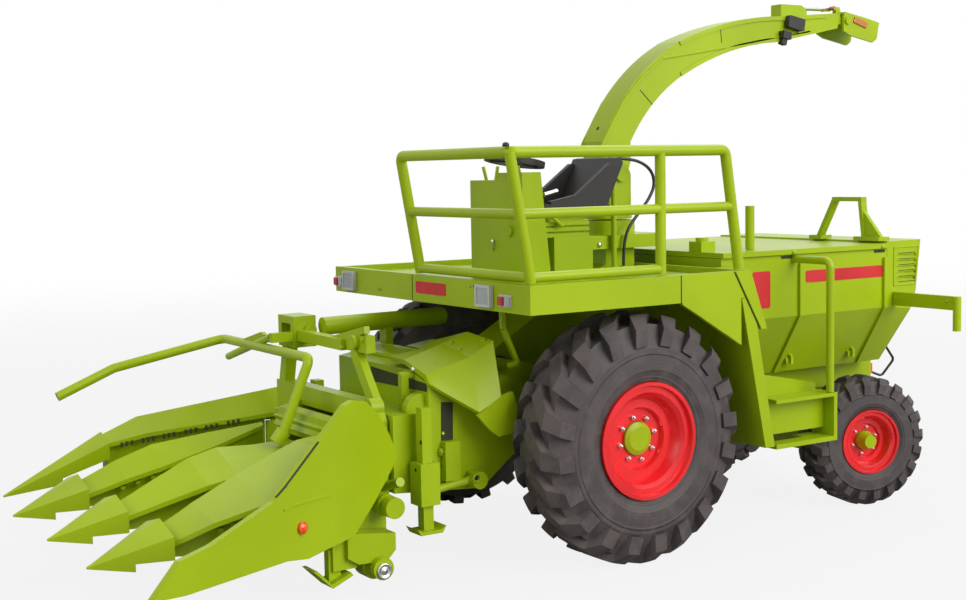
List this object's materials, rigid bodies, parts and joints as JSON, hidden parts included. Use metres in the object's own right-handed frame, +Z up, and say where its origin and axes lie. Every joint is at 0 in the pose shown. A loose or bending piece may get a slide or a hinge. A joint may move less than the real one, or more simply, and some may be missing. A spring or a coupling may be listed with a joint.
{
  "type": "1:32 scale model of a forage harvester",
  "caption": "Scale model of a self-propelled forage harvester: open driver's platform, row-crop header with pointed dividers, curved discharge spout, big front wheels.",
  "frame": {"origin": "middle of the overall box, on the ground under the wheels", "axes": "+X to the machine's left, +Y to the rear (the header points to -Y), +Z up"},
  "size_m": [0.101, 0.209, 0.1174],
  "materials": {
    "green_paint": "satin lime green enamel",
    "rim_red": "glossy red",
    "tyre": "matt dark rubber",
    "black_plastic": "matt black",
    "hose_rubber": "matt black hose",
    "lamp_metal": "bright silver lamp frames"
  },
  "bodies": {
    "machine": {"blower_duct": "green_paint", "chassis": "green_paint", "chopper_housing": "green_paint", "console": "green_paint", "engine_box": "green_paint", "engine_lid": "green_paint", "exhaust": "green_paint", "fender_left": "green_paint", "fender_right": "green_paint", "front_axle": "green_paint", "front_lamps": "lamp_metal", "grab_handle": "green_paint", "hose_spout": "hose_rubber", "lamp_arm_left": "green_paint", "lamp_arm_right": "green_paint", "platform": "green_paint", "railing": "green_paint", "rear_axle": "green_paint", "rear_hood": "green_paint", "rear_pipe": "hose_rubber", "seat": "black_plastic", "seat_pedestal": "green_paint", "spout_rest": "green_paint", "steering_wheel": "black_plastic", "steps": "green_paint", "turret_ring": "green_paint"},
    "wheel_front_left": {"tyre_front_left": "tyre", "rim_front_left": "rim_red", "hub_front_left": "green_paint"},
    "wheel_front_right": {"tyre_front_right": "tyre", "rim_front_right": "rim_red", "hub_front_right": "green_paint"},
    "wheel_rear_left": {"tyre_rear_left": "tyre", "rim_rear_left": "rim_red", "hub_rear_left": "green_paint"},
    "wheel_rear_right": {"tyre_rear_right": "tyre", "rim_rear_right": "rim_red", "hub_rear_right": "green_paint"},
    "knuckle_left": {"knuckle_left": "green_paint"},
    "knuckle_right": {"knuckle_right": "green_paint"},
    "spout_foot": {"spout_foot": "green_paint"},
    "spout": {"spout": "green_paint"},
    "spout_flap": {"spout_flap": "green_paint"},
    "header": {"intake_housing": "green_paint", "intake_guard": "green_paint", "feed_rollers": "green_paint", "divider_1": "green_paint", "divider_2": "green_paint", "divider_3": "green_paint", "divider_4": "green_paint", "divider_5": "green_paint", "header_floor": "green_paint", "header_mast": "green_paint", "drive_tube": "green_paint", "crop_bar": "green_paint", "jack_sleeve": "green_paint", "header_gearbox": "green_paint", "intake_grille": "green_paint"},
    "jack_leg": {"jack_leg": "green_paint"}
  },
  "joints": [
    {"name": "wheel_front_left_spin", "type": "hinge", "parent": "machine", "child": "wheel_front_left", "pos_m": [0.0361, 0.0012, 0.0249], "axis": [1, 0, 0], "continuous": true},
    {"name": "steer_left", "type": "hinge", "parent": "machine", "child": "knuckle_left", "pos_m": [0.0219, 0.0769, 0.0148], "axis": [0, 0, 1], "range_deg": [-15.7, 44.3]},
    {"name": "wheel_rear_left_spin", "type": "hinge", "parent": "knuckle_left", "child": "wheel_rear_left", "pos_m": [0.02965, 0.07492, 0.0148], "axis": [0.969, -0.247, 0], "continuous": true},
    {"name": "wheel_front_right_spin", "type": "hinge", "parent": "machine", "child": "wheel_front_right", "pos_m": [-0.0295, 0.0012, 0.0249], "axis": [1, 0, 0], "continuous": true},
    {"name": "steer_right", "type": "hinge", "parent": "machine", "child": "knuckle_right", "pos_m": [-0.0153, 0.0769, 0.0148], "axis": [0, 0, 1], "range_deg": [-15.7, 44.3]},
    {"name": "wheel_rear_right_spin", "type": "hinge", "parent": "knuckle_right", "child": "wheel_rear_right", "pos_m": [-0.02305, 0.07888, 0.0148], "axis": [0.969, -0.247, 0], "continuous": true},
    {"name": "spout_swivel", "type": "hinge", "parent": "machine", "child": "spout_foot", "pos_m": [0.0033, 0.0217, 0.068], "axis": [0, 0, 1], "range_deg": [-105, 105]},
    {"name": "spout_lift", "type": "hinge", "parent": "spout_foot", "child": "spout", "pos_m": [0.0033, 0.0217, 0.0772], "axis": [1, 0, 0], "range_deg": [-22, 0]},
    {"name": "spout_flap_tilt", "type": "hinge", "parent": "spout", "child": "spout_flap", "pos_m": [0.0033, 0.0932, 0.1136], "axis": [1, 0, 0], "range_deg": [-50, 0]},
    {"name": "header_lift", "type": "hinge", "parent": "machine", "child": "header", "pos_m": [0.0033, -0.0138, 0.03], "axis": [-1, 0, 0], "range_deg": [-3, 8]},
    {"name": "jack_slide", "type": "slide", "parent": "header", "child": "jack_leg", "axis": [0, 0, -1], "range_m": [-0.0045, 0.007]}
  ],
  "couplings": [
    {"joint": "steer_right", "follows": "steer_left", "ratio": 1}
  ]
}
